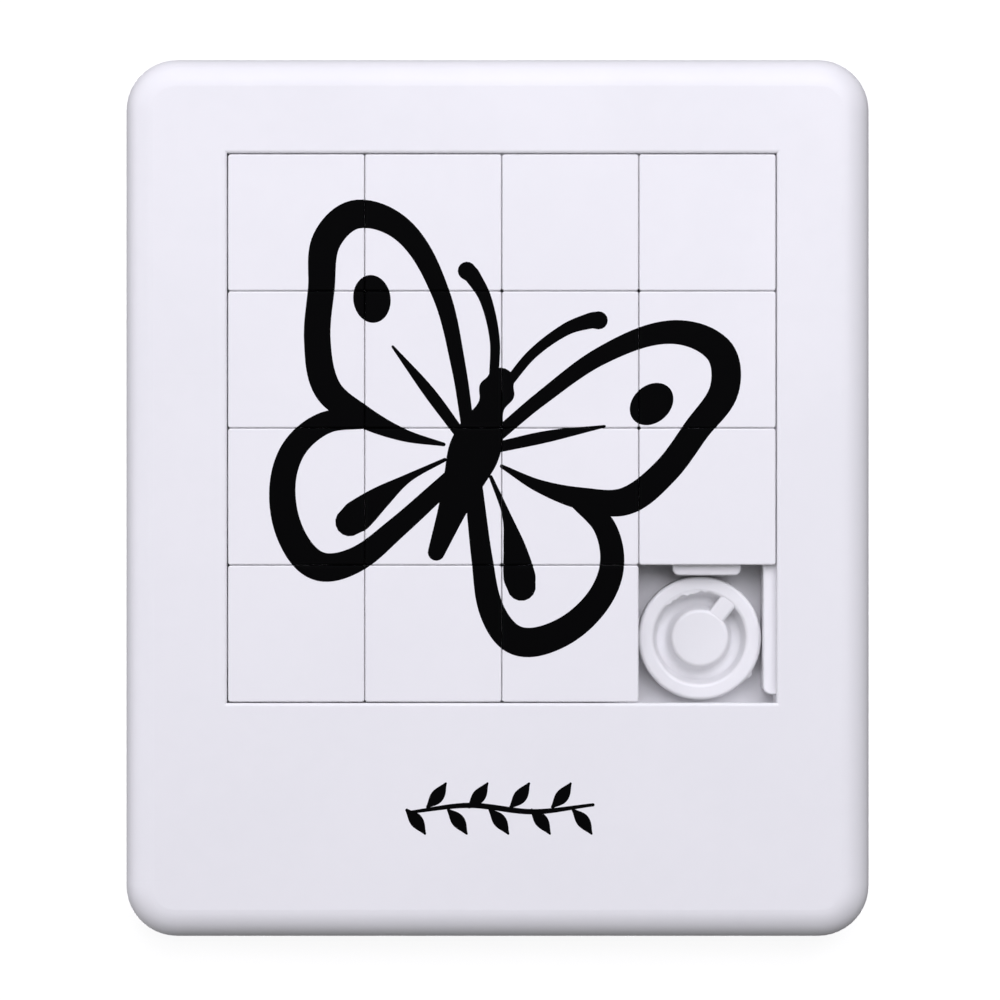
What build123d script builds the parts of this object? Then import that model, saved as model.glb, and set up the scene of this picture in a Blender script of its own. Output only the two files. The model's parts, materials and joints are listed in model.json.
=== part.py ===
from build123d import *
import os

# A hand-held sliding tile puzzle, lying face up. Millimetres, +Z up, the origin at the middle
# of the back face. A moulded bezel and a tray snap together round fifteen interlocking tiles
# and one empty cell, and a loose round plug lies in the empty cell.

# ---- Driving dimensions ----
FRAME_WIDTH = 70.0
FRAME_LENGTH = 82.6
FRAME_HEIGHT = 8.2
FRAME_CORNER_RADIUS = 4.8
FRONT_EDGE_RADIUS = 2.7
BACK_EDGE_RADIUS = 0.6
OUTER_WALL = 1.8

CELLS_PER_SIDE = 4
PITCH = 12.85
TILE_GAP = 0.06
WINDOW_CENTRE_X = 0.4
WINDOW_CENTRE_Y = 6.55
WINDOW_PLAY = 0.14
WINDOW_EDGE_RADIUS = 0.3

# ---- Heights above the back face ----
FLOOR_TOP = 2.2
TILE_BOTTOM = 5.7
TONGUE_TOP = 7.0
OVERHANG_BOTTOM = 7.2
TILE_TOP = FRAME_HEIGHT - 0.1

# ---- Tiles ----
TILE_CORNER_RADIUS = 0.25
TILE_EDGE_RADIUS = 0.15
TILE_ROOF = 1.0
TILE_WALL = 1.2
TILE_RECESS = 1.35
TONGUE_REACH = 1.0
TONGUE_WIDTH = 6.4
TONGUE_CORNER_RADIUS = 0.6
TONGUE_EDGE_RADIUS = 0.2

# ---- Tray walls, rails and the groove for the tongues ----
RAIL_WIDTH = 1.2
RAIL_END_GAP = 0.75
RAIL_END_RADIUS = 0.75
RAIL_EDGE_RADIUS = 0.2
GROOVE_DEPTH = 1.15
WELL_WALL = 1.4

# ---- Tray plate, pegs and the bezel's bosses and ribs ----
PLATE_GAP = 0.1
PARTING_CHAMFER = 0.3
PEG_RADIUS = 1.2
PEG_TOP = 5.6
PEG_CLEARANCE = 0.05
SOCKET_TOP = 6.0
BOSS_RADIUS = 2.3
RIB_THICKNESS = 1.0
CROSS_RIBS = 5
LONG_RIBS = 2
EJECTOR_MARK_RADIUS = 2.5
EJECTOR_MARK_DEPTH = 0.1

# ---- Plug ----
PLUG_RADIUS = 5.825
PLUG_OFFSET_X = -0.6
PLUG_OFFSET_Y = -0.5
PLUG_TOP = 5.55
PLUG_RIM_WIDTH = 1.45
PLUG_DISC_RADIUS = 2.7
PLUG_EDGE_RADIUS = 0.35
PLUG_FOOT_CHAMFER = 0.25
PLUG_WEB = 0.9
GROOVE_DRAFT = 0.35
GROOVE_BOTTOM_RISE = 0.5
PLUG_RIB_WIDTH = 1.7
PLUG_RIB_DROP = 0.04
PLUG_RIB_ANGLE = 52.0
PLUG_NUB_ANGLE = -37.0
PLUG_NUB_RADIUS = 0.55
PLUG_NUB_DROP = 0.9

# ---- Worked out from the dimensions above ----
TILE_SIDE = PITCH - TILE_GAP
WINDOW_SIDE = CELLS_PER_SIDE * PITCH + WINDOW_PLAY
WINDOW_LEFT = WINDOW_CENTRE_X - WINDOW_SIDE / 2
WINDOW_RIGHT = WINDOW_CENTRE_X + WINDOW_SIDE / 2
WINDOW_BACK = WINDOW_CENTRE_Y + WINDOW_SIDE / 2
WINDOW_FRONT = WINDOW_CENTRE_Y - WINDOW_SIDE / 2
INNER_WIDTH = FRAME_WIDTH - 2 * OUTER_WALL
INNER_LENGTH = FRAME_LENGTH - 2 * OUTER_WALL
INNER_CORNER_RADIUS = FRAME_CORNER_RADIUS - OUTER_WALL
WELL_OUTER_LEFT = WINDOW_LEFT - GROOVE_DEPTH - WELL_WALL
WELL_OUTER_FRONT = WINDOW_FRONT - GROOVE_DEPTH - WELL_WALL
WELL_OUTER_RIGHT = WINDOW_RIGHT + WELL_WALL
WELL_OUTER_BACK = WINDOW_BACK + WELL_WALL

LEFT_MARGIN_X = (WELL_OUTER_LEFT - INNER_WIDTH / 2) / 2
RIGHT_MARGIN_X = (WELL_OUTER_RIGHT + INNER_WIDTH / 2) / 2
BOTTOM_RIB_SPACING = (WELL_OUTER_FRONT + INNER_LENGTH / 2) / (LONG_RIBS + 1)
PEG_PLACES = [
    (side_x, side_y)
    for side_x in (LEFT_MARGIN_X, RIGHT_MARGIN_X)
    for side_y in (WINDOW_CENTRE_Y - 0.36 * WINDOW_SIDE, WINDOW_CENTRE_Y + 0.36 * WINDOW_SIDE)
] + [(sign * FRAME_WIDTH / 3, -INNER_LENGTH / 2 + BOTTOM_RIB_SPACING) for sign in (-1, 1)]


def block(left, right, front, back, bottom, top, corner_radius=0.0):
    """An upright block between the given sides, with its upright corners rounded."""
    middle = ((left + right) / 2, (front + back) / 2)
    with BuildPart() as shape:
        with BuildSketch(Plane.XY.offset(bottom)):
            with Locations(middle):
                if corner_radius > 0:
                    RectangleRounded(right - left, back - front, corner_radius)
                else:
                    Rectangle(right - left, back - front)
        extrude(amount=top - bottom)
    return shape.part


def centred_block(width, length, bottom, top, corner_radius):
    """An upright rounded block about the frame's middle."""
    return block(-width / 2, width / 2, -length / 2, length / 2, bottom, top, corner_radius)


def upright_cylinder(place, radius, bottom, top):
    """An upright cylinder at a place on the plan."""
    cylinder = Cylinder(radius, top - bottom, align=(Align.CENTER, Align.CENTER, Align.MIN))
    return cylinder.moved(Location((place[0], place[1], bottom)))


def cell_centre(row, column):
    """The middle of a cell, counting rows from the back and columns from the left."""
    middle = (CELLS_PER_SIDE - 1) / 2
    return (WINDOW_CENTRE_X + (column - middle) * PITCH, WINDOW_CENTRE_Y + (middle - row) * PITCH)


def edges_at_height(shape, height):
    """The edges of a shape that lie wholly at one height."""
    return [
        edge
        for edge in shape.edges()
        if abs(edge.bounding_box().min.Z - height) < 1e-4 and abs(edge.bounding_box().max.Z - height) < 1e-4
    ]


def make_bezel_ribs():
    """Stiffening ribs across the hollow of the wide front margin."""
    front = -INNER_LENGTH / 2
    ribs = []
    for number in range(1, LONG_RIBS + 1):
        y = front + number * BOTTOM_RIB_SPACING
        ribs.append(
            block(
                -INNER_WIDTH / 2,
                INNER_WIDTH / 2,
                y - RIB_THICKNESS / 2,
                y + RIB_THICKNESS / 2,
                FLOOR_TOP,
                OVERHANG_BOTTOM,
            )
        )
    for number in range(CROSS_RIBS):
        x = (number - (CROSS_RIBS - 1) / 2) * INNER_WIDTH / (CROSS_RIBS + 1)
        ribs.append(
            block(
                x - RIB_THICKNESS / 2,
                x + RIB_THICKNESS / 2,
                front,
                WELL_OUTER_FRONT,
                FLOOR_TOP,
                OVERHANG_BOTTOM,
            )
        )
    return ribs


def make_front_bezel():
    """The front shell: rounded outside, with a square window whose rim holds the tiles' tongues down."""
    shell = centred_block(FRAME_WIDTH, FRAME_LENGTH, 0, FRAME_HEIGHT, FRAME_CORNER_RADIUS)
    shell = fillet(edges_at_height(shell, FRAME_HEIGHT), FRONT_EDGE_RADIUS)
    shell = fillet(edges_at_height(shell, 0), BACK_EDGE_RADIUS)
    shell -= centred_block(INNER_WIDTH, INNER_LENGTH, 0, OVERHANG_BOTTOM, INNER_CORNER_RADIUS)
    for rib in make_bezel_ribs():
        shell += rib
    for place in PEG_PLACES:
        shell += upright_cylinder(place, BOSS_RADIUS, FLOOR_TOP, OVERHANG_BOTTOM)
        shell -= upright_cylinder(place, PEG_RADIUS + PEG_CLEARANCE, FLOOR_TOP, SOCKET_TOP)
    shell -= block(WINDOW_LEFT, WINDOW_RIGHT, WINDOW_FRONT, WINDOW_BACK, 0, FRAME_HEIGHT)
    window_edges = [
        edge
        for edge in edges_at_height(shell, FRAME_HEIGHT)
        if WINDOW_LEFT - 1e-3 <= edge.center().X <= WINDOW_RIGHT + 1e-3
        and WINDOW_FRONT - 1e-3 <= edge.center().Y <= WINDOW_BACK + 1e-3
    ]
    return fillet(window_edges, WINDOW_EDGE_RADIUS)


def make_rail(along_right):
    """A rail under the tiles' overhangs, along the right or the back side of the well."""
    if along_right:
        rail = block(
            WINDOW_RIGHT - RAIL_WIDTH,
            WINDOW_RIGHT,
            WINDOW_FRONT + RAIL_END_GAP,
            WINDOW_BACK,
            FLOOR_TOP,
            TONGUE_TOP,
        )
        end = rail.edges().filter_by(Axis.Z).sort_by(Axis.Y)[:2].sort_by(Axis.X)[0]
        rail = fillet(end, RAIL_END_RADIUS)
        inner = [edge for edge in edges_at_height(rail, TONGUE_TOP) if edge.center().X < WINDOW_RIGHT - RAIL_WIDTH / 4]
    else:
        rail = block(
            WINDOW_LEFT + RAIL_END_GAP,
            WINDOW_RIGHT,
            WINDOW_BACK - RAIL_WIDTH,
            WINDOW_BACK,
            FLOOR_TOP,
            TONGUE_TOP,
        )
        end = rail.edges().filter_by(Axis.Z).sort_by(Axis.X)[:2].sort_by(Axis.Y)[0]
        rail = fillet(end, RAIL_END_RADIUS)
        inner = [edge for edge in edges_at_height(rail, TONGUE_TOP) if edge.center().Y < WINDOW_BACK - RAIL_WIDTH / 4]
    inner = [edge for edge in inner if edge.length > 2 * RAIL_WIDTH or edge.geom_type == GeomType.CIRCLE]
    return fillet(inner, RAIL_EDGE_RADIUS)


def make_rear_tray():
    """The back plate with the well's walls, the two rails and the pegs that enter the bezel."""
    plate = centred_block(
        INNER_WIDTH - 2 * PLATE_GAP, INNER_LENGTH - 2 * PLATE_GAP, 0, FLOOR_TOP, INNER_CORNER_RADIUS - PLATE_GAP
    )
    tray = chamfer(edges_at_height(plate, 0), PARTING_CHAMFER)
    well = block(
        WELL_OUTER_LEFT, WELL_OUTER_RIGHT, WELL_OUTER_FRONT, WELL_OUTER_BACK, FLOOR_TOP, OVERHANG_BOTTOM
    )
    well -= block(
        WINDOW_LEFT - GROOVE_DEPTH,
        WINDOW_RIGHT,
        WINDOW_FRONT - GROOVE_DEPTH,
        WINDOW_BACK,
        FLOOR_TOP,
        OVERHANG_BOTTOM,
    )
    tray += well
    for along_right in (True, False):
        tray += make_rail(along_right)
    for place in PEG_PLACES:
        tray += upright_cylinder(place, PEG_RADIUS, FLOOR_TOP, PEG_TOP)
    for mark_x in (-FRAME_WIDTH / 4, FRAME_WIDTH / 4):
        for mark_y in (-FRAME_LENGTH / 3, FRAME_LENGTH / 3):
            tray -= upright_cylinder((mark_x, mark_y), EJECTOR_MARK_RADIUS, 0, EJECTOR_MARK_DEPTH)
    return tray


def make_tongue():
    """The tongue on a tile's left side, which runs under the overhang of the tile beside it."""
    tip = -TILE_SIDE / 2 - TONGUE_REACH
    root = -TILE_SIDE / 2 + TILE_WALL / 2
    tongue = block(tip, root, -TONGUE_WIDTH / 2, TONGUE_WIDTH / 2, TILE_BOTTOM, TONGUE_TOP)
    tip_corners = tongue.edges().filter_by(Axis.Z).sort_by(Axis.X)[:2]
    tongue = fillet(tip_corners, TONGUE_CORNER_RADIUS)
    rim = [edge for edge in edges_at_height(tongue, TONGUE_TOP) if edge.center().X < root - 1e-3]
    return fillet(rim, TONGUE_EDGE_RADIUS)


def make_tile():
    """One tile about the plan's origin: roof, hollow body, two tongues and two rebated sides."""
    half = TILE_SIDE / 2
    roof = block(-half, half, -half, half, OVERHANG_BOTTOM, TILE_TOP, TILE_CORNER_RADIUS)
    roof = fillet(edges_at_height(roof, TILE_TOP), TILE_EDGE_RADIUS)
    body = block(
        -half, half - TILE_RECESS, -half, half - TILE_RECESS, TILE_BOTTOM, OVERHANG_BOTTOM, TILE_CORNER_RADIUS
    )
    tongue = make_tongue()
    turned_tongue = tongue.rotate(Axis.Z, 90)
    tile = roof + body + tongue + turned_tongue
    tile -= block(
        -half + TILE_WALL,
        half - TILE_RECESS - TILE_WALL,
        -half + TILE_WALL,
        half - TILE_RECESS - TILE_WALL,
        TILE_BOTTOM,
        TILE_TOP - TILE_ROOF,
        TILE_CORNER_RADIUS,
    )
    return tile


def make_plug():
    """The round plug: a flat rim and a flat disc with a deep groove between, one rib and a gate nub."""
    rim_inside = PLUG_RADIUS - PLUG_RIM_WIDTH
    groove_middle = (rim_inside + PLUG_DISC_RADIUS) / 2
    groove_floor = FLOOR_TOP + PLUG_WEB
    wall_foot = groove_floor + GROOVE_BOTTOM_RISE
    with BuildPart() as plug:
        with BuildSketch(Plane.XZ):
            with BuildLine():
                Polyline(
                    (PLUG_DISC_RADIUS + GROOVE_DRAFT, wall_foot),
                    (PLUG_DISC_RADIUS, PLUG_TOP),
                    (0, PLUG_TOP),
                    (0, FLOOR_TOP),
                    (PLUG_RADIUS - PLUG_FOOT_CHAMFER, FLOOR_TOP),
                    (PLUG_RADIUS, FLOOR_TOP + PLUG_FOOT_CHAMFER),
                    (PLUG_RADIUS, PLUG_TOP),
                    (rim_inside, PLUG_TOP),
                    (rim_inside - GROOVE_DRAFT, wall_foot),
                )
                ThreePointArc(
                    (rim_inside - GROOVE_DRAFT, wall_foot),
                    (groove_middle, groove_floor),
                    (PLUG_DISC_RADIUS + GROOVE_DRAFT, wall_foot),
                )
            make_face()
        revolve(axis=Axis.Z)
    shape = fillet(edges_at_height(plug.part, PLUG_TOP), PLUG_EDGE_RADIUS)
    rib_top = PLUG_TOP - PLUG_RIB_DROP
    rib_end = rim_inside + PLUG_RIM_WIDTH / 2
    rib = block(0, rib_end, -PLUG_RIB_WIDTH / 2, PLUG_RIB_WIDTH / 2, groove_floor, rib_top)
    rib_sides = [edge for edge in edges_at_height(rib, rib_top) if abs(edge.center().Y) > 1e-3]
    rib = fillet(rib_sides, PLUG_EDGE_RADIUS)
    nub = Sphere(PLUG_NUB_RADIUS).moved(
        Location((PLUG_RADIUS - PLUG_NUB_RADIUS / 2, 0, PLUG_TOP - PLUG_NUB_DROP))
    )
    shape += rib.rotate(Axis.Z, PLUG_RIB_ANGLE)
    shape += nub.rotate(Axis.Z, PLUG_NUB_ANGLE)
    centre_x, centre_y = cell_centre(CELLS_PER_SIDE - 1, CELLS_PER_SIDE - 1)
    return shape.moved(Location((centre_x + PLUG_OFFSET_X, centre_y + PLUG_OFFSET_Y, 0)))


def save(shape, node):
    """Write one node to its own STEP file."""
    shape.label = node
    export_step(shape, f"parts/{node}.step")


os.makedirs("parts", exist_ok=True)
save(make_front_bezel(), "front_bezel")
save(make_rear_tray(), "rear_tray")
save(make_plug(), "transit_plug")

TILE = make_tile()
TILE_COUNT = CELLS_PER_SIDE * CELLS_PER_SIDE - 1
for index in range(TILE_COUNT):
    tile_x, tile_y = cell_centre(index // CELLS_PER_SIDE, index % CELLS_PER_SIDE)
    save(TILE.moved(Location((tile_x, tile_y, 0))), f"tile_{index + 1:02d}")
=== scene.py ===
"""Looks of a hand-held sliding tile puzzle: white moulded plastic with a black print.

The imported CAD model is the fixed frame, and it brings every moulded piece: the bezel, the tray, fifteen
tiles and the round plug. This script gives each of them its plastic, lays the printed ink on the tiles and
the bezel as thin films that follow the tiles' rounded edges, adds the moulding flash on the plug, and sets
up a plain studio.
"""

import json
import logging
import math
from dataclasses import dataclass, field
from enum import Enum

import bmesh
import bpy
from mathutils import Matrix, Vector
from mathutils.geometry import delaunay_2d_cdt, interpolate_bezier

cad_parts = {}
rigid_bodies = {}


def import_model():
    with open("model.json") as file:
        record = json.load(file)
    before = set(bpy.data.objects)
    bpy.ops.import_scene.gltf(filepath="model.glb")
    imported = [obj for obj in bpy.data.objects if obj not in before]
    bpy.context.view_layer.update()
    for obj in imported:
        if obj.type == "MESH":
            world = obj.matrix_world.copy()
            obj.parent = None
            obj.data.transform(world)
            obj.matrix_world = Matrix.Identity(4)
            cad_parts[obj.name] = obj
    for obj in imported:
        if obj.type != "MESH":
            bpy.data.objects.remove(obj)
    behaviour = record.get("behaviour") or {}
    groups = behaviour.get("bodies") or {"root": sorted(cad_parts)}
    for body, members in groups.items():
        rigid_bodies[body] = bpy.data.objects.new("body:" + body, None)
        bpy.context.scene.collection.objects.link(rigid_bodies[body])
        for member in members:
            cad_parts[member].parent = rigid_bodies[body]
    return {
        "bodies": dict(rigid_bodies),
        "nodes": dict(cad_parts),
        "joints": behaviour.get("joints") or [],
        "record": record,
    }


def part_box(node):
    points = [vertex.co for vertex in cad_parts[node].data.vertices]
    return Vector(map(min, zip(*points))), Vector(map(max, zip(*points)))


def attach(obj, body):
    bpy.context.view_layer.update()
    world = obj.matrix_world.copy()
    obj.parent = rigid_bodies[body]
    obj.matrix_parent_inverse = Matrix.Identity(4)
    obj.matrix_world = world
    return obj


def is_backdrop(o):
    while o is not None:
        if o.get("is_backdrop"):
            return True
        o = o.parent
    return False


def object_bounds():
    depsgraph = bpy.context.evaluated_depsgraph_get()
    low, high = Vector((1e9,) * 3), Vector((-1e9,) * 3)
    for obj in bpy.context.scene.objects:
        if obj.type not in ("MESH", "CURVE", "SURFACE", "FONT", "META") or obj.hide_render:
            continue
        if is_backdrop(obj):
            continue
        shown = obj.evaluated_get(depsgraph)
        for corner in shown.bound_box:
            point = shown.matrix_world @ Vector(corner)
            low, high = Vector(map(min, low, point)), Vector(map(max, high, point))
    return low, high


LOG = logging.getLogger("sliding_puzzle")
MM = 0.001
ROUND_END_STEPS = 8
OVAL_STEPS = 48


class Slot(Enum):
    """The record's material slots."""

    FRAME = "frame_plastic"
    TILE = "tile_plastic"
    PLUG = "plug_plastic"
    INK = "printed_ink"


def object_from(shape: bmesh.types.BMesh, name: str) -> bpy.types.Object:
    """Make an object of a finished bmesh and put it in the scene.

    Args:
        shape: The bmesh, freed afterwards.
        name: The new object's name.

    Returns:
        The object, which sits at the origin.
    """
    mesh = bpy.data.meshes.new(name)
    shape.to_mesh(mesh)
    shape.free()
    piece = bpy.data.objects.new(name, mesh)
    bpy.context.scene.collection.objects.link(piece)
    return piece


# ---------------------------------------------------------------------------------------------
# Node helpers and shared surface effects
# ---------------------------------------------------------------------------------------------


@dataclass
class NodeBoard:
    """One node tree and the few calls that fill it."""

    tree: bpy.types.NodeTree

    def add(self, kind: str, **settings: object) -> bpy.types.Node:
        """Add a node and set its plain properties.

        Args:
            kind: The node's type name.
            settings: Properties of the node, by name.

        Returns:
            The new node.
        """
        node = self.tree.nodes.new(kind)
        for name, value in settings.items():
            setattr(node, name, value)
        return node

    def join(self, source: bpy.types.NodeSocket, target: bpy.types.NodeSocket) -> None:
        """Link one socket to another."""
        self.tree.links.new(source, target)

    def feed(self, target: bpy.types.NodeSocket, source: object) -> None:
        """Give a socket a link or a constant, whichever the source is."""
        if isinstance(source, bpy.types.NodeSocket):
            self.join(source, target)
        else:
            target.default_value = source

    def math(self, operation: str, first: object, second: object = 0.0, clamp: bool = False) -> bpy.types.NodeSocket:
        """Combine two values.

        Args:
            operation: The Math node's operation.
            first: A socket or a number.
            second: A socket or a number.
            clamp: Whether the result is kept between 0 and 1.

        Returns:
            The socket of the result.
        """
        node = self.add("ShaderNodeMath", operation=operation, use_clamp=clamp)
        self.feed(node.inputs[0], first)
        self.feed(node.inputs[1], second)
        return node.outputs[0]

    def scale_and_add(self, value: object, factor: float, offset: float) -> bpy.types.NodeSocket:
        """A value times a factor, plus an offset.

        Args:
            value: The socket to scale.
            factor: What it is multiplied by.
            offset: What is added afterwards.

        Returns:
            The socket of the result.
        """
        result = self.math("MULTIPLY_ADD", value, factor)
        result.node.inputs[2].default_value = offset
        return result

    def remap(self, value: object, low: float, high: float, to_low: float, to_high: float) -> bpy.types.NodeSocket:
        """Stretch a value from one range to another, smoothly and without overshoot.

        Args:
            value: The socket to stretch.
            low: Where the input range starts.
            high: Where the input range ends.
            to_low: The result at the start.
            to_high: The result at the end.

        Returns:
            The socket of the result.
        """
        node = self.add("ShaderNodeMapRange", interpolation_type="SMOOTHSTEP")
        for socket, source in zip(node.inputs, (value, low, high, to_low, to_high)):
            self.feed(socket, source)
        return node.outputs[0]

    def noise(self, vector: bpy.types.NodeSocket, scale: object, detail: float = 3.0) -> bpy.types.NodeSocket:
        """A noise value over a position.

        Args:
            vector: The position.
            scale: Features per metre, a socket or a number.
            detail: How many finer layers are added.

        Returns:
            The noise, between about 0 and 1.
        """
        node = self.add("ShaderNodeTexNoise")
        self.join(vector, node.inputs["Vector"])
        self.feed(node.inputs["Scale"], scale)
        node.inputs["Detail"].default_value = detail
        return node.outputs["Fac"]

    def bump(self, height: bpy.types.NodeSocket, strength: float, depth: float) -> bpy.types.NodeSocket:
        """Turn a height into a bent surface normal.

        Args:
            height: The height's socket.
            strength: How much of the bump shows.
            depth: The relief's height in metres.

        Returns:
            The normal's socket.
        """
        node = self.add("ShaderNodeBump")
        node.inputs["Strength"].default_value = strength
        node.inputs["Distance"].default_value = depth
        self.join(height, node.inputs["Height"])
        return node.outputs["Normal"]

    def blend(self, mask: object, first: object, second: object) -> bpy.types.NodeSocket:
        """Mix two colours.

        Args:
            mask: How much of the second colour shows.
            first: The colour under the mask.
            second: The colour over it.

        Returns:
            The mixed colour's socket.
        """
        node = self.add("ShaderNodeMix", data_type="RGBA")
        self.feed(node.inputs["Factor"], mask)
        self.feed(node.inputs[6], first)
        self.feed(node.inputs[7], second)
        return node.outputs[2]


class EffectGroup:
    """A shared surface effect, kept as a shader node group with named inputs and outputs."""

    def __init__(self, name: str, numbers: dict[str, float], output: str) -> None:
        """Start the group.

        Args:
            name: The group's name.
            numbers: Its number inputs and their defaults.
            output: The name of the one value it puts out.
        """
        self.tree = bpy.data.node_groups.new(name, "ShaderNodeTree")
        self.board = NodeBoard(self.tree)
        self.tree.interface.new_socket("Position", in_out="INPUT", socket_type="NodeSocketVector")
        for label, value in numbers.items():
            socket = self.tree.interface.new_socket(label, in_out="INPUT", socket_type="NodeSocketFloat")
            socket.default_value = value
        self.tree.interface.new_socket(output, in_out="OUTPUT", socket_type="NodeSocketFloat")
        self.entry = self.board.add("NodeGroupInput")
        self.exit = self.board.add("NodeGroupOutput")

    def close(self, result: bpy.types.NodeSocket) -> bpy.types.NodeTree:
        """Wire the result out and hand the finished group over."""
        self.board.join(result, self.exit.inputs[0])
        return self.tree


class SurfaceEffects:
    """The effects that the puzzle's plastics and ink share."""

    def __init__(self) -> None:
        """Build each group once."""
        self.flow_tone = self._flow_tone()
        self.specks = self._specks()
        self.scratches = self._scratches()
        self.peel = self._peel()

    @staticmethod
    def _flow_tone() -> bpy.types.NodeTree:
        """Soft patches of tone, as where the melt flowed and cooled unevenly."""
        group = EffectGroup("melt_flow_tone", {"Patches": 70.0}, "Mask")
        board, entry = group.board, group.entry
        broad = board.noise(entry.outputs["Position"], entry.outputs["Patches"], 2.0)
        fine_scale = board.math("MULTIPLY", entry.outputs["Patches"], 9.0)
        fine = board.noise(entry.outputs["Position"], fine_scale, 4.0)
        mixed = board.math("ADD", board.math("MULTIPLY", broad, 0.7), board.math("MULTIPLY", fine, 0.3))
        return group.close(board.remap(mixed, 0.32, 0.68, 0.0, 1.0))

    @staticmethod
    def _specks() -> bpy.types.NodeTree:
        """Rare tiny dark specks of dust in the surface."""
        group = EffectGroup("dust_specks", {"Cells": 300.0, "Share": 0.06}, "Mask")
        board, entry = group.board, group.entry
        cells = board.add("ShaderNodeTexVoronoi", feature="F1")
        board.join(entry.outputs["Position"], cells.inputs["Vector"])
        board.join(entry.outputs["Cells"], cells.inputs["Scale"])
        pick = board.add("ShaderNodeSeparateColor")
        board.join(cells.outputs["Color"], pick.inputs["Color"])
        chosen = board.math("LESS_THAN", pick.outputs["Red"], entry.outputs["Share"])
        radius = board.math("MULTIPLY", pick.outputs["Green"], 0.045)
        spot = board.math("LESS_THAN", cells.outputs["Distance"], radius)
        strength = board.scale_and_add(pick.outputs["Blue"], 0.7, 0.3)
        return group.close(board.math("MULTIPLY", board.math("MULTIPLY", chosen, spot), strength))

    @staticmethod
    def _scratches() -> bpy.types.NodeTree:
        """Faint hair scratches in two directions, broken into short runs."""
        group = EffectGroup("hair_scratches", {"Runs": 260.0, "Share": 0.5}, "Mask")
        board, entry = group.board, group.entry
        total = None
        for angle, seed in ((0.5, 0.0), (-0.9, 3.7)):
            turn = board.add("ShaderNodeMapping")
            turn.inputs["Location"].default_value = (seed, seed, 0.0)
            turn.inputs["Rotation"].default_value = (0.0, 0.0, angle)
            turn.inputs["Scale"].default_value = (0.05, 1.0, 0.05)
            board.join(entry.outputs["Position"], turn.inputs["Vector"])
            streak = board.noise(turn.outputs[0], board.math("MULTIPLY", entry.outputs["Runs"], 12.0), 2.0)
            line = board.remap(streak, 0.72, 0.78, 0.0, 1.0)
            presence = board.noise(entry.outputs["Position"], entry.outputs["Runs"], 1.0)
            run = board.math("MULTIPLY", line, board.math("GREATER_THAN", presence, entry.outputs["Share"]))
            total = run if total is None else board.math("MAXIMUM", total, run)
        return group.close(total)

    @staticmethod
    def _peel() -> bpy.types.NodeTree:
        """The fine texture that the mould leaves, as a height."""
        group = EffectGroup("mould_texture", {"Grain": 1800.0}, "Height")
        board, entry = group.board, group.entry
        grain = board.noise(entry.outputs["Position"], entry.outputs["Grain"], 3.0)
        wave_scale = board.math("MULTIPLY", entry.outputs["Grain"], 0.08)
        wave = board.noise(entry.outputs["Position"], wave_scale, 1.0)
        return group.close(board.math("ADD", board.math("MULTIPLY", grain, 0.4), wave))

    def place(
        self, board: NodeBoard, group: bpy.types.NodeTree, position: bpy.types.NodeSocket, **values: float
    ) -> bpy.types.NodeSocket:
        """Put one effect in a material.

        Args:
            board: The material's node board.
            group: The effect.
            position: Where on the surface the effect is read.
            values: The effect's own numbers, by input name.

        Returns:
            The effect's result.
        """
        node = board.add("ShaderNodeGroup", node_tree=group)
        board.join(position, node.inputs["Position"])
        for name, value in values.items():
            node.inputs[name].default_value = value
        return node.outputs[0]


# ---------------------------------------------------------------------------------------------
# Finishes
# ---------------------------------------------------------------------------------------------


@dataclass(frozen=True)
class MouldedPlastic:
    """A white moulded plastic with soft flow tone, dust specks and hair scratches.

    Attributes:
        name: The material's name.
        tone: The plastic's colour.
        flow_tone: Its colour where the melt flowed unevenly.
        roughness: How matt it is.
        texture_depth: The height of the mould's texture in metres.
        speck_share: The share of cells that hold a speck.
        scratch_gloss: How much rougher a scratch is.
        glow: How much of the light passes under the surface and comes out again.
    """

    name: str
    tone: tuple[float, float, float]
    flow_tone: tuple[float, float, float]
    roughness: float
    texture_depth: float
    speck_share: float
    scratch_gloss: float
    glow: float = 0.0

    def make(self, effects: SurfaceEffects) -> bpy.types.Material:
        """Build the material.

        Args:
            effects: The shared surface effects.

        Returns:
            The finished material.
        """
        material = bpy.data.materials.new(self.name)
        material.use_nodes = True
        board = NodeBoard(material.node_tree)
        shader = material.node_tree.nodes["Principled BSDF"]
        position = board.add("ShaderNodeTexCoord").outputs["Object"]
        flow = effects.place(board, effects.flow_tone, position, Patches=55.0)
        colour = board.blend(flow, (*self.tone, 1.0), (*self.flow_tone, 1.0))
        specks = effects.place(board, effects.specks, position, Cells=260.0, Share=self.speck_share)
        colour = board.blend(board.math("MULTIPLY", specks, 0.55), colour, (0.2, 0.19, 0.2, 1.0))
        board.join(colour, shader.inputs["Base Color"])
        scratches = effects.place(board, effects.scratches, position, Runs=120.0, Share=0.55)
        rough = board.scale_and_add(flow, 0.06, self.roughness)
        rough = board.math("ADD", rough, board.math("MULTIPLY", scratches, self.scratch_gloss), clamp=True)
        board.join(rough, shader.inputs["Roughness"])
        peel = effects.place(board, effects.peel, position, Grain=1800.0)
        height = board.math("SUBTRACT", peel, board.math("MULTIPLY", scratches, 0.5))
        board.join(board.bump(height, 0.35, self.texture_depth), shader.inputs["Normal"])
        shader.inputs["IOR"].default_value = 1.5
        shader.inputs["Subsurface Weight"].default_value = self.glow
        shader.inputs["Subsurface Radius"].default_value = (1.0, 0.95, 0.95)
        shader.inputs["Subsurface Scale"].default_value = 0.6 * MM
        return material


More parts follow.
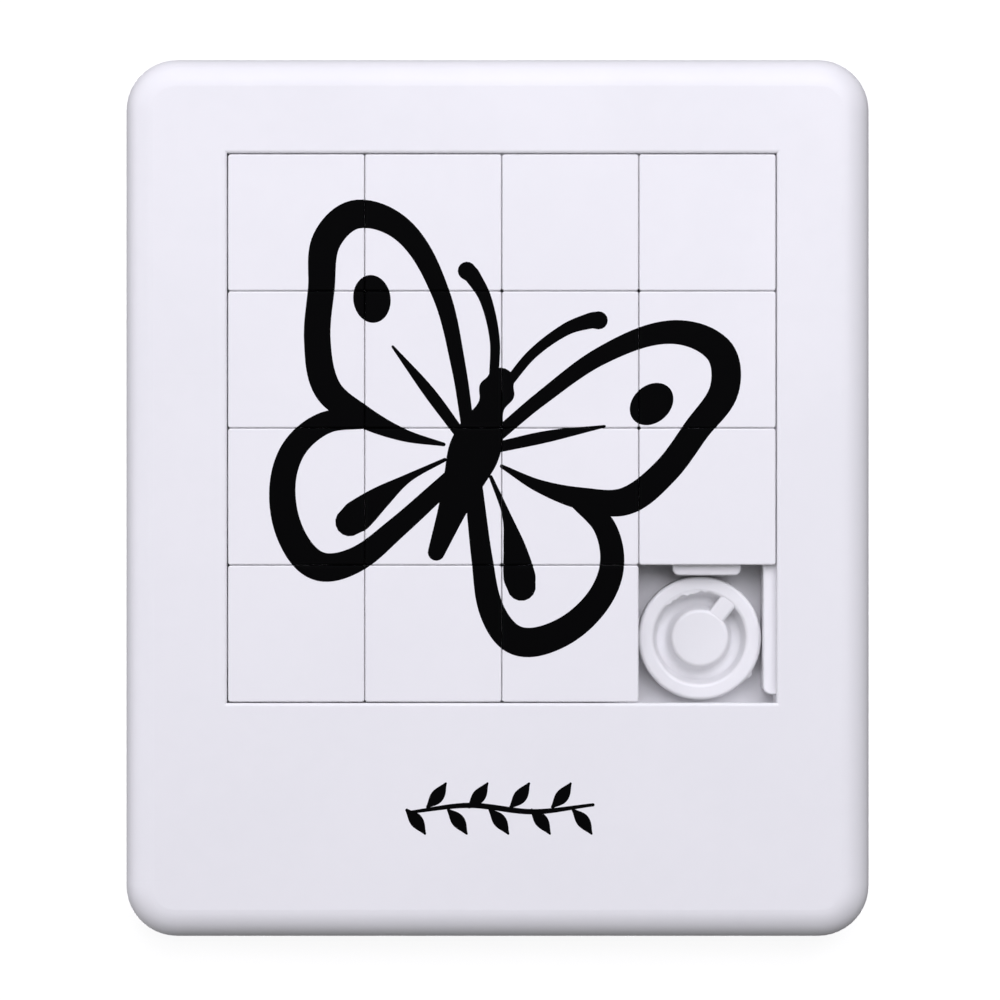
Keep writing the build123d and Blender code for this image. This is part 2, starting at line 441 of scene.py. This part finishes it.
@dataclass(frozen=True)
class PrintInk:
    """A black pad-printed ink, thinner in places so that a little tone shows.

    Attributes:
        name: The material's name.
        tone: The ink's colour where it is thick.
        thin_tone: Its colour where it is thin.
        roughness: How matt it is.
    """

    name: str
    tone: tuple[float, float, float]
    thin_tone: tuple[float, float, float]
    roughness: float

    def make(self, effects: SurfaceEffects) -> bpy.types.Material:
        """Build the material.

        Args:
            effects: The shared surface effects.

        Returns:
            The finished material.
        """
        material = bpy.data.materials.new(self.name)
        material.use_nodes = True
        board = NodeBoard(material.node_tree)
        shader = material.node_tree.nodes["Principled BSDF"]
        position = board.add("ShaderNodeTexCoord").outputs["Object"]
        flow = effects.place(board, effects.flow_tone, position, Patches=400.0)
        board.join(board.blend(flow, (*self.tone, 1.0), (*self.thin_tone, 1.0)), shader.inputs["Base Color"])
        board.join(board.scale_and_add(flow, 0.12, self.roughness), shader.inputs["Roughness"])
        peel = effects.place(board, effects.peel, position, Grain=6000.0)
        board.join(board.bump(peel, 0.3, 0.01 * MM), shader.inputs["Normal"])
        shader.inputs["Specular IOR Level"].default_value = 0.03
        return material


@dataclass(frozen=True)
class StudioPaper:
    """The plain pale paper that the puzzle lies on.

    Attributes:
        name: The material's name.
        tone: The paper's colour.
        backlight: How brightly the paper is lit from below.
    """

    name: str
    tone: tuple[float, float, float]
    backlight: float

    def make(self) -> bpy.types.Material:
        """Build the material, which can be seen through from below."""
        material = bpy.data.materials.new(self.name)
        material.use_nodes = True
        board = NodeBoard(material.node_tree)
        shader = material.node_tree.nodes["Principled BSDF"]
        shader.inputs["Base Color"].default_value = (*self.tone, 1.0)
        from_below = board.add("ShaderNodeNewGeometry").outputs["Backfacing"]
        board.join(board.math("SUBTRACT", 1.0, from_below), shader.inputs["Alpha"])
        shader.inputs["Emission Color"].default_value = (1.0, 1.0, 1.0, 1.0)
        shader.inputs["Emission Strength"].default_value = self.backlight
        shader.inputs["Roughness"].default_value = 0.9
        shader.inputs["Specular IOR Level"].default_value = 0.1
        return material


@dataclass
class Finishes:
    """Every material of the puzzle, built once."""

    effects: SurfaceEffects = field(default_factory=SurfaceEffects)

    def __post_init__(self) -> None:
        """Make the materials."""
        frame = MouldedPlastic(
            "frame_white", (0.885, 0.88, 0.893), (0.865, 0.862, 0.875), 0.45, 0.012 * MM, 0.05, 0.14
        )
        tile = MouldedPlastic(
            "tile_white", (0.89, 0.885, 0.898), (0.872, 0.868, 0.882), 0.42, 0.010 * MM, 0.05, 0.12
        )
        plug = MouldedPlastic(
            "plug_white", (0.89, 0.888, 0.896), (0.875, 0.873, 0.882), 0.33, 0.008 * MM, 0.01, 0.05, 0.15
        )
        ink = PrintInk("black_ink", (0.0006, 0.0006, 0.0007), (0.0012, 0.0012, 0.0014), 0.6)
        self.frame = frame.make(self.effects)
        self.tile = tile.make(self.effects)
        self.plug = plug.make(self.effects)
        self.ink = ink.make(self.effects)

    @staticmethod
    def dress(piece: bpy.types.Object, material: bpy.types.Material) -> None:
        """Give a whole piece one material."""
        piece.data.materials.clear()
        piece.data.materials.append(material)


# ---------------------------------------------------------------------------------------------
# Printed drawing
# ---------------------------------------------------------------------------------------------


@dataclass(frozen=True)
class InkLine:
    """One printed line whose width changes along it.

    Attributes:
        knots: Points (x, y, width) in millimetres that the line passes through.
        steps: How many short runs each stretch between two knots gets.
    """

    knots: tuple[tuple[float, float, float], ...]
    steps: int = 10

    def mirrored(self) -> "InkLine":
        """The same line on the other side of the drawing's middle."""
        return InkLine(tuple((-x, y, width) for x, y, width in self.knots), self.steps)

    def _spine(self) -> list[Vector]:
        """The line's smooth middle, with the width as a third coordinate."""
        knots = [Vector(knot) for knot in self.knots]
        slopes = []
        for number in range(len(knots)):
            before = knots[max(number - 1, 0)]
            after = knots[min(number + 1, len(knots) - 1)]
            slopes.append((after - before) / 2)
        spine: list[Vector] = []
        for number in range(len(knots) - 1):
            start, end = knots[number], knots[number + 1]
            reach = (end - start).length
            first_slope = slopes[number].normalized() * reach / 3
            last_slope = slopes[number + 1].normalized() * reach / 3
            run = interpolate_bezier(start, start + first_slope, end - last_slope, end, self.steps + 1)
            spine.extend(run if not spine else run[1:])
        return spine

    def outline(self) -> list[Vector]:
        """The closed outline of the line, with round ends.

        Returns:
            The outline's points on the plan, counter-clockwise.
        """
        spine = self._spine()
        left: list[Vector] = []
        right: list[Vector] = []
        for number, point in enumerate(spine):
            before = spine[max(number - 1, 0)]
            after = spine[min(number + 1, len(spine) - 1)]
            along = (after - before).xy.normalized()
            across = Vector((-along.y, along.x)) * point.z / 2
            left.append(point.xy + across)
            right.append(point.xy - across)
        start_cap = self._cap(spine[0], spine[0] - spine[1])
        end_cap = self._cap(spine[-1], spine[-1] - spine[-2])
        return right + end_cap + left[::-1] + start_cap

    @staticmethod
    def _cap(tip: Vector, outwards: Vector) -> list[Vector]:
        """Points of the half circle that ends a line, without its two feet."""
        start = math.atan2(outwards.y, outwards.x) - math.pi / 2
        turns = (start + math.pi * number / ROUND_END_STEPS for number in range(1, ROUND_END_STEPS))
        return [tip.xy + Vector((math.cos(turn), math.sin(turn))) * tip.z / 2 for turn in turns]


@dataclass(frozen=True)
class InkSpot:
    """A printed oval.

    Attributes:
        centre: The oval's middle in millimetres.
        radii: Its half length and half width.
        turn: The angle of its length in degrees.
    """

    centre: tuple[float, float]
    radii: tuple[float, float]
    turn: float

    def mirrored(self) -> "InkSpot":
        """The same oval on the other side of the drawing's middle."""
        return InkSpot((-self.centre[0], self.centre[1]), self.radii, 180.0 - self.turn)

    def outline(self) -> list[Vector]:
        """The oval's outline, counter-clockwise."""
        spin = Matrix.Rotation(math.radians(self.turn), 2)
        ring = []
        for number in range(OVAL_STEPS):
            angle = 2 * math.pi * number / OVAL_STEPS
            ring.append(spin @ Vector((math.cos(angle) * self.radii[0], math.sin(angle) * self.radii[1])))
        return [Vector(self.centre) + point for point in ring]


@dataclass
class PrintedDrawing:
    """A flat drawing: shapes in millimetres, merged into one outline and placed on the puzzle.

    Attributes:
        shapes: The lines and spots of the drawing.
        place: Where the drawing's origin lies on the puzzle, in millimetres.
        turn: How far the drawing is turned, in degrees.
    """

    shapes: list
    place: tuple[float, float]
    turn: float

    def flat_mesh(self, height: float) -> bmesh.types.BMesh:
        """Merge the shapes into one flat sheet.

        Args:
            height: The sheet's height in metres.

        Returns:
            The sheet as a new bmesh.
        """
        spin = Matrix.Rotation(math.radians(self.turn), 2)
        points: list[Vector] = []
        rings: list[list[int]] = []
        for shape in self.shapes:
            outline = [spin @ point + Vector(self.place) for point in shape.outline()]
            rings.append(list(range(len(points), len(points) + len(outline))))
            points.extend(outline)
        corners, _, triangles, _, _, owners = delaunay_2d_cdt(points, [], rings, 1, 1e-5)
        sheet = bmesh.new()
        verts = [sheet.verts.new((corner.x * MM, corner.y * MM, height)) for corner in corners]
        for triangle, owner in zip(triangles, owners):
            if owner:
                sheet.faces.new([verts[index] for index in triangle])
        loose = [vert for vert in sheet.verts if not vert.link_faces]
        bmesh.ops.delete(sheet, geom=loose, context="VERTS")
        bmesh.ops.dissolve_limit(
            sheet, angle_limit=math.radians(0.5), verts=sheet.verts[:], edges=sheet.edges[:], delimit=set()
        )
        bmesh.ops.triangulate(sheet, faces=sheet.faces[:])
        return sheet


def both_sides(shapes: list) -> list:
    """A list of shapes with their mirror images added."""
    return shapes + [shape.mirrored() for shape in shapes]


def butterfly() -> list:
    """A plain symmetrical butterfly, head up, drawn about the middle of its body.

    Returns:
        Its lines and spots in millimetres.
    """
    upper_wing = InkLine(
        (
            (1.3, 0.7, 1.2),
            (4.1, 5.7, 1.35),
            (8.1, 11.6, 1.7),
            (13.2, 15.8, 2.2),
            (18.0, 15.9, 2.7),
            (19.9, 12.6, 2.75),
            (18.8, 8.2, 2.5),
            (17.4, 3.4, 2.5),
            (14.9, -0.5, 2.6),
            (11.0, -1.7, 2.1),
            (6.8, -2.0, 1.2),
            (2.9, -1.5, 0.35),
        )
    )
    lower_wing = InkLine(
        (
            (10.6, -1.9, 1.7),
            (14.0, -3.5, 2.1),
            (15.9, -6.8, 2.3),
            (15.6, -10.7, 2.45),
            (13.3, -14.5, 2.65),
            (10.0, -16.3, 2.75),
            (6.9, -14.6, 2.4),
            (4.3, -10.4, 2.0),
            (1.2, -4.4, 1.7),
        )
    )
    half = [
        upper_wing,
        lower_wing,
        InkLine(((1.4, -0.3, 1.0), (5.9, 2.6, 1.1), (10.6, 5.4, 0.25)), 8),
        InkLine(((2.3, -2.8, 0.35), (4.9, -5.6, 0.8), (6.7, -8.2, 2.1), (8.1, -10.6, 3.0), (8.6, -11.4, 2.7)), 8),
        InkLine(((0.7, 6.0, 0.9), (1.9, 9.4, 0.95), (4.0, 12.6, 1.15), (5.9, 14.2, 1.5), (6.6, 14.5, 1.7)), 8),
        InkSpot((14.0, 8.9), (2.25, 1.75), 62.0),
    ]
    body = [
        InkLine(
            (
                (0.0, 5.9, 2.6),
                (0.0, 4.9, 3.4),
                (0.0, 3.4, 2.5),
                (0.0, 1.4, 4.0),
                (0.0, -1.2, 4.8),
                (0.0, -4.0, 3.8),
                (0.0, -7.2, 2.6),
                (0.0, -11.2, 1.6),
            )
        )
    ]
    return both_sides(half) + body


def leaf_sprig() -> list:
    """A plain sprig of leaves lying on its side, drawn about its middle.

    Returns:
        Its lines and spots in millimetres.
    """
    shapes: list = [InkLine(((-8.6, -0.35, 0.3), (-3.0, 0.3, 0.5), (3.0, -0.3, 0.5), (8.6, 0.35, 0.3)))]
    leaf_pitch = 1.95
    for number in range(-4, 5):
        x = number * leaf_pitch - 0.3
        side = 1 if number % 2 else -1
        leaf = ((x - 0.75, side * 0.15, 0.3), (x + 0.15, side * 1.15, 1.25), (x + 0.95, side * 2.35, 0.22))
        shapes.append(InkLine(leaf, 8))
    return shapes


@dataclass(frozen=True)
class InkFilm:
    """How thick a printed film is, and how it turns over a tile's rounded edge and down its side.

    Attributes:
        lift: How far the film's face stands off the plastic, in metres.
        thickness: The film's thickness in metres.
        edge_radius: The radius of the tile's top edge in metres.
        corner_radius: The radius of the tile's upright corners in metres.
        side_run: How far down the tile's side the ink reaches, in metres.
        edge_cuts: How many strips the rounded edge is cut into.
    """

    lift: float = 0.012 * MM
    thickness: float = 0.02 * MM
    edge_radius: float = 0.15 * MM
    corner_radius: float = 0.25 * MM
    side_run: float = 0.25 * MM
    edge_cuts: int = 5

    def fold_over_tile(self, sheet: bmesh.types.BMesh, low: Vector, high: Vector) -> None:
        """Cut a flat sheet down to one tile and fold its rim over the tile's edge.

        Args:
            sheet: The flat sheet, changed in place.
            low: The tile face's lower left corner.
            high: The tile face's upper right corner.
        """
        middle = (low + high) / 2
        half = (high.x - low.x) / 2
        rim_steps = [math.sin(math.pi / 2 * number / self.edge_cuts) for number in range(self.edge_cuts + 1)]
        insets = [self.edge_radius * (1 - step) for step in rim_steps]
        for quarter in range(8):
            turn = quarter * math.pi / 4
            outwards = Vector((math.cos(turn), math.sin(turn), 0.0))
            corner = (half - self.corner_radius) * (abs(outwards.x) + abs(outwards.y)) + self.corner_radius
            self._cut(sheet, middle + outwards * (corner + self.side_run), outwards, True)
            for inset in insets:
                self._cut(sheet, middle + outwards * (corner - inset), outwards, False)
        for vert in sheet.verts:
            self._fold(vert, middle, half)

    def _fold(self, vert: bmesh.types.BMVert, middle: Vector, half: float) -> None:
        """Move one point of the flat sheet onto the tile's rounded edge or side.

        Args:
            vert: The point.
            middle: The middle of the tile's face.
            half: Half the side of the tile's face.
        """
        offset = (vert.co - middle).xy
        sides = Vector((math.copysign(1.0, offset.x), math.copysign(1.0, offset.y)))
        past = Vector((abs(offset.x), abs(offset.y))) - Vector((half, half)) + Vector((1.0, 1.0)) * self.corner_radius
        if past.x > 0 and past.y > 0:
            beyond = past.length - self.corner_radius
            outwards = past.normalized()
        else:
            beyond = max(past) - self.corner_radius
            outwards = Vector((1.0, 0.0)) if past.x > past.y else Vector((0.0, 1.0))
        if beyond <= -self.edge_radius:
            return
        outwards = Vector((outwards.x * sides.x, outwards.y * sides.y, 0.0))
        rise = self.edge_radius + self.lift
        if beyond < 0:
            slope = math.asin(min(1.0, 1 + beyond / self.edge_radius))
            vert.co += outwards * self.lift * math.sin(slope)
            vert.co.z -= rise * (1 - math.cos(slope))
        else:
            vert.co += outwards * (self.lift - beyond)
            vert.co.z -= rise + beyond

    @staticmethod
    def _cut(sheet: bmesh.types.BMesh, point: Vector, normal: Vector, clear: bool) -> None:
        """Cut a sheet along an upright plane, and drop what is beyond it if asked."""
        geometry = sheet.verts[:] + sheet.edges[:] + sheet.faces[:]
        bmesh.ops.bisect_plane(
            sheet, geom=geometry, dist=1e-7, plane_co=point, plane_no=normal, clear_outer=clear
        )

    def finish(self, sheet: bmesh.types.BMesh, name: str) -> bpy.types.Object | None:
        """Give a sheet its thickness and make it an object.

        Args:
            sheet: The sheet, freed afterwards.
            name: The new object's name.

        Returns:
            The film, or None where the tile carries no ink.
        """
        if not sheet.faces:
            sheet.free()
            return None
        bmesh.ops.remove_doubles(sheet, verts=sheet.verts[:], dist=1e-7)
        bmesh.ops.recalc_face_normals(sheet, faces=sheet.faces[:])
        if sum(face.normal.z for face in sheet.faces) < 0:
            bmesh.ops.reverse_faces(sheet, faces=sheet.faces[:])
        bmesh.ops.solidify(sheet, geom=sheet.faces[:], thickness=self.thickness)
        return object_from(sheet, name)


# ---------------------------------------------------------------------------------------------
# Sub-assemblies
# ---------------------------------------------------------------------------------------------


@dataclass
class PuzzleFrame:
    """The bezel and the tray, with the small ornament printed below the window.

    Attributes:
        finishes: The puzzle's materials.
        ornament_place: The ornament's middle on the bezel, in millimetres.
    """

    finishes: Finishes
    frame: dict
    ornament_place: tuple[float, float] = (0.35, -29.1)

    def dress(self) -> None:
        """Give the two moulded pieces their plastic."""
        for node in ("front_bezel", "rear_tray"):
            Finishes.dress(self.frame["nodes"][node], self.finishes.frame)

    def print_ornament(self) -> bpy.types.Object:
        """Print the sprig on the bezel.

        Returns:
            The ink film.
        """
        film = InkFilm()
        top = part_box("front_bezel")[1].z
        sheet = PrintedDrawing(leaf_sprig(), self.ornament_place, 0.0).flat_mesh(top + film.lift)
        ornament = film.finish(sheet, "bezel_sprig_print")
        Finishes.dress(ornament, self.finishes.ink)
        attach(ornament, "frame")
        return ornament


@dataclass
class TileSet:
    """The fifteen tiles and the drawing printed across them.

    Attributes:
        finishes: The puzzle's materials.
        count: How many tiles there are.
        face_side: The side of a tile's face in metres.
        drawing_place: The butterfly's middle on the puzzle, in millimetres.
        drawing_turn: How far the butterfly is turned, in degrees.
    """

    finishes: Finishes
    frame: dict
    count: int = 15
    face_side: float = 12.79 * MM
    drawing_place: tuple[float, float] = (-1.8, 5.4)
    drawing_turn: float = -20.6

    def dress(self) -> None:
        """Give every tile its plastic."""
        for node in self._nodes():
            Finishes.dress(self.frame["nodes"][node], self.finishes.tile)

    def _nodes(self) -> list[str]:
        """The tiles' names, row by row."""
        return [f"tile_{number:02d}" for number in range(1, self.count + 1)]

    def print_butterfly(self) -> list[bpy.types.Object]:
        """Print the butterfly, one film on each tile that it crosses.

        Returns:
            The ink films.
        """
        film = InkFilm()
        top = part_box("tile_01")[1].z
        drawing = PrintedDrawing(butterfly(), self.drawing_place, self.drawing_turn)
        whole = drawing.flat_mesh(top + film.lift)
        pieces = []
        for node in self._nodes():
            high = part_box(node)[1]
            low = high - Vector((self.face_side, self.face_side, 0.0))
            sheet = whole.copy()
            film.fold_over_tile(sheet, low, high)
            piece = film.finish(sheet, f"{node}_print")
            if piece is None:
                continue
            Finishes.dress(piece, self.finishes.ink)
            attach(piece, node)
            pieces.append(piece)
        whole.free()
        return pieces


@dataclass
class TransitPlug:
    """The loose round plug in the empty cell, with the thin flash that the mould left inside its rim.

    Attributes:
        finishes: The puzzle's materials.
        rim_width: How wide the plug's rim is, in metres.
        rim_rounding: The radius of the rim's inner edge, which the flash covers, in metres.
        flash_drop: How far below the rim's top the flash lies, in metres.
        flash_from: The angle where the flash starts, in degrees from +X.
        flash_sweep: How far round the flash runs, in degrees.
        flash_reach: How far the flash stands into the groove on average, in metres.
        flash_section: The flash's cross-section: how far outwards from the rim's inside and how far up each
            corner lies, in millimetres.
        flash_steps: How many steps the flash takes round the rim.
    """

    finishes: Finishes
    frame: dict
    rim_width: float = 1.45 * MM
    rim_rounding: float = 0.35 * MM
    flash_drop: float = 0.05 * MM
    flash_from: float = 67.0
    flash_sweep: float = 80.0
    flash_reach: float = 0.15 * MM
    flash_section: tuple[tuple[float, float], ...] = ((0.5, -0.3), (0.5, 0.04), (0.1, 0.02), (0.0, -0.06))
    flash_steps: int = 96

    def dress(self) -> None:
        """Give the plug its plastic."""
        Finishes.dress(self.frame["nodes"]["transit_plug"], self.finishes.plug)

    def _reach_at(self, share: float) -> float:
        """How far the ragged flash stands out, at a share of its run from 0 to 1; its ends fade into the rim."""
        ends = math.sin(math.pi * share) ** 0.5
        waves = 1.0 + 0.55 * math.sin(17.0 * share + 0.6) + 0.3 * math.sin(41.0 * share) + 0.2 * math.sin(67.0 * share)
        return self.flash_reach * ends * waves - self.rim_rounding * (1.0 - ends)

    def grow_flash(self) -> bpy.types.Object:
        """Spin a thin wedge round the rim and make its tip ragged.

        Returns:
            The flash.
        """
        low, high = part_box("transit_plug")
        middle = Vector(((low.x + high.x) / 2, (low.y + high.y) / 2, 0.0))
        root = (high.x - low.x) / 2 - self.rim_width
        level = high.z - self.flash_drop
        wedge = bmesh.new()
        start = Matrix.Rotation(math.radians(self.flash_from), 3, "Z")
        verts = []
        for outward, upward in self.flash_section:
            spoke = start @ Vector((root + outward * MM, 0.0, 0.0))
            verts.append(wedge.verts.new(middle + spoke + Vector((0.0, 0.0, level + upward * MM))))
        face = wedge.faces.new(verts)
        bmesh.ops.spin(
            wedge,
            geom=[face, *face.edges, *face.verts],
            cent=middle,
            axis=(0.0, 0.0, 1.0),
            angle=math.radians(self.flash_sweep),
            steps=self.flash_steps,
            use_merge=False,
        )
        tip_depth = 0.2 * MM
        for vert in wedge.verts:
            spoke = (vert.co - middle).xy
            if spoke.length > root + tip_depth:
                continue
            angle = math.degrees(math.atan2(spoke.y, spoke.x)) - self.flash_from
            share = min(max(angle / self.flash_sweep, 0.0), 1.0)
            inwards = -spoke.normalized() * self._reach_at(share)
            vert.co += Vector((inwards.x, inwards.y, 0.0))
        bmesh.ops.recalc_face_normals(wedge, faces=wedge.faces[:])
        flash = object_from(wedge, "plug_rim_flash")
        Finishes.dress(flash, self.finishes.plug)
        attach(flash, "plug")
        return flash


@dataclass(frozen=True)
class Lamp:
    """One rectangular soft light that faces the middle of the puzzle.

    Attributes:
        name: The light's name.
        place: Where its middle is, in metres.
        size: Its width and length in metres.
        power: Its power in watts.
    """

    name: str
    place: tuple[float, float, float]
    size: tuple[float, float]
    power: float

    def hang(self, tint: tuple[float, float, float]) -> None:
        """Put the light in the scene.

        Args:
            tint: The light's colour.
        """
        data = bpy.data.lights.new(self.name, "AREA")
        data.shape = "RECTANGLE"
        data.size, data.size_y = self.size
        data.energy = self.power
        data.color = tint
        light = bpy.data.objects.new(self.name, data)
        light.location = self.place
        light.rotation_euler = (-Vector(self.place)).to_track_quat("-Z", "Y").to_euler()
        bpy.context.scene.collection.objects.link(light)


@dataclass
class Studio:
    """The pale paper, the soft light and the camera straight above.

    Attributes:
        view_width: How much of the puzzle's plane the picture is wide, in metres.
        aim: The point of the plane at the middle of the picture, in metres.
        lens: The camera's focal length in millimetres.
        sensor: The camera's sensor width in millimetres.
        light_tint: The colour of the lamps.
        air_strength: How much light comes from all round.
        paper_drop: How far the paper lies below the puzzle's back, so that the two never coincide, in metres.
        lamps: A broad key light above the far side, weak low ones from three sides, and one below for the back.
    """

    view_width: float = 93.7 * MM
    aim: tuple[float, float] = (0.23 * MM, -0.19 * MM)
    lens: float = 150.0
    sensor: float = 36.0
    light_tint: tuple[float, float, float] = (0.925, 0.912, 1.0)
    air_strength: float = 0.14
    paper_drop: float = 0.05 * MM
    lamps: tuple[Lamp, ...] = (
        Lamp("key_light", (0.09, 0.29, 0.58), (0.6, 0.55), 4.25),
        Lamp("side_light", (-0.55, 0.05, 0.16), (0.3, 0.4), 1.1),
        Lamp("far_light", (0.0, 0.55, 0.14), (0.5, 0.25), 0.5),
        Lamp("near_light", (0.1, -0.55, 0.13), (0.5, 0.25), 0.16),
        Lamp("under_light", (0.0, 0.0, -0.45), (0.4, 0.4), 1.5),
    )

    def lay_paper(self) -> bpy.types.Object:
        """The floor, a sheet a few metres wide."""
        sheet = bmesh.new()
        bmesh.ops.create_grid(sheet, x_segments=8, y_segments=8, size=3.0)
        bmesh.ops.translate(sheet, vec=Vector((0.0, 0.0, -self.paper_drop)), verts=sheet.verts)
        paper = object_from(sheet, "studio_paper")
        Finishes.dress(paper, StudioPaper("studio_paper", (0.22, 0.22, 0.22), 0.88).make())
        paper.visible_diffuse = False
        paper.visible_glossy = False
        paper.visible_shadow = False
        paper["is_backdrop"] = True
        return paper

    def set_camera(self, top: float) -> None:
        """Stand the camera straight above the puzzle.

        Args:
            top: The height of the puzzle's face in metres.
        """
        data = bpy.data.cameras.new("camera")
        data.lens = self.lens
        data.sensor_width = self.sensor
        data.dof.use_dof = False
        distance = self.view_width * self.lens / self.sensor
        data.clip_end = 20.0
        camera = bpy.data.objects.new("camera", data)
        camera.location = (self.aim[0], self.aim[1], top + distance)
        bpy.context.scene.collection.objects.link(camera)
        bpy.context.scene.camera = camera

    def hang_lights(self) -> None:
        """Hang the lamps, and add a little light all round."""
        for lamp in self.lamps:
            lamp.hang(self.light_tint)
        world = bpy.data.worlds.new("studio_air")
        bpy.context.scene.world = world
        world.use_nodes = True
        board = NodeBoard(world.node_tree)
        air = world.node_tree.nodes["Background"]
        air.inputs["Color"].default_value = (1.0, 1.0, 1.0, 1.0)
        seen = board.add("ShaderNodeLightPath").outputs["Is Camera Ray"]
        strength = board.scale_and_add(seen, 1.0 - self.air_strength, self.air_strength)
        board.join(strength, air.inputs["Strength"])
        bpy.context.scene.view_settings.view_transform = "Standard"


def main() -> None:
    """Build the looks in order: frame, tiles, plug and studio."""
    logging.basicConfig(level=logging.INFO, format="%(name)s: %(message)s")
    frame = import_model()
    cad_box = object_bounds()
    finishes = Finishes()

    studio = Studio()
    studio.set_camera(cad_box[1][2])
    studio.lay_paper()
    studio.hang_lights()

    puzzle_frame = PuzzleFrame(finishes, frame)
    puzzle_frame.dress()
    LOG.info("printed %s", puzzle_frame.print_ornament().name)

    tiles = TileSet(finishes, frame)
    tiles.dress()
    for piece in tiles.print_butterfly():
        LOG.info("printed %s", piece.name)

    plug = TransitPlug(finishes, frame)
    plug.dress()
    LOG.info("grew %s", plug.grow_flash().name)

    bpy.context.view_layer.update()


if __name__ == "__main__":
    main()
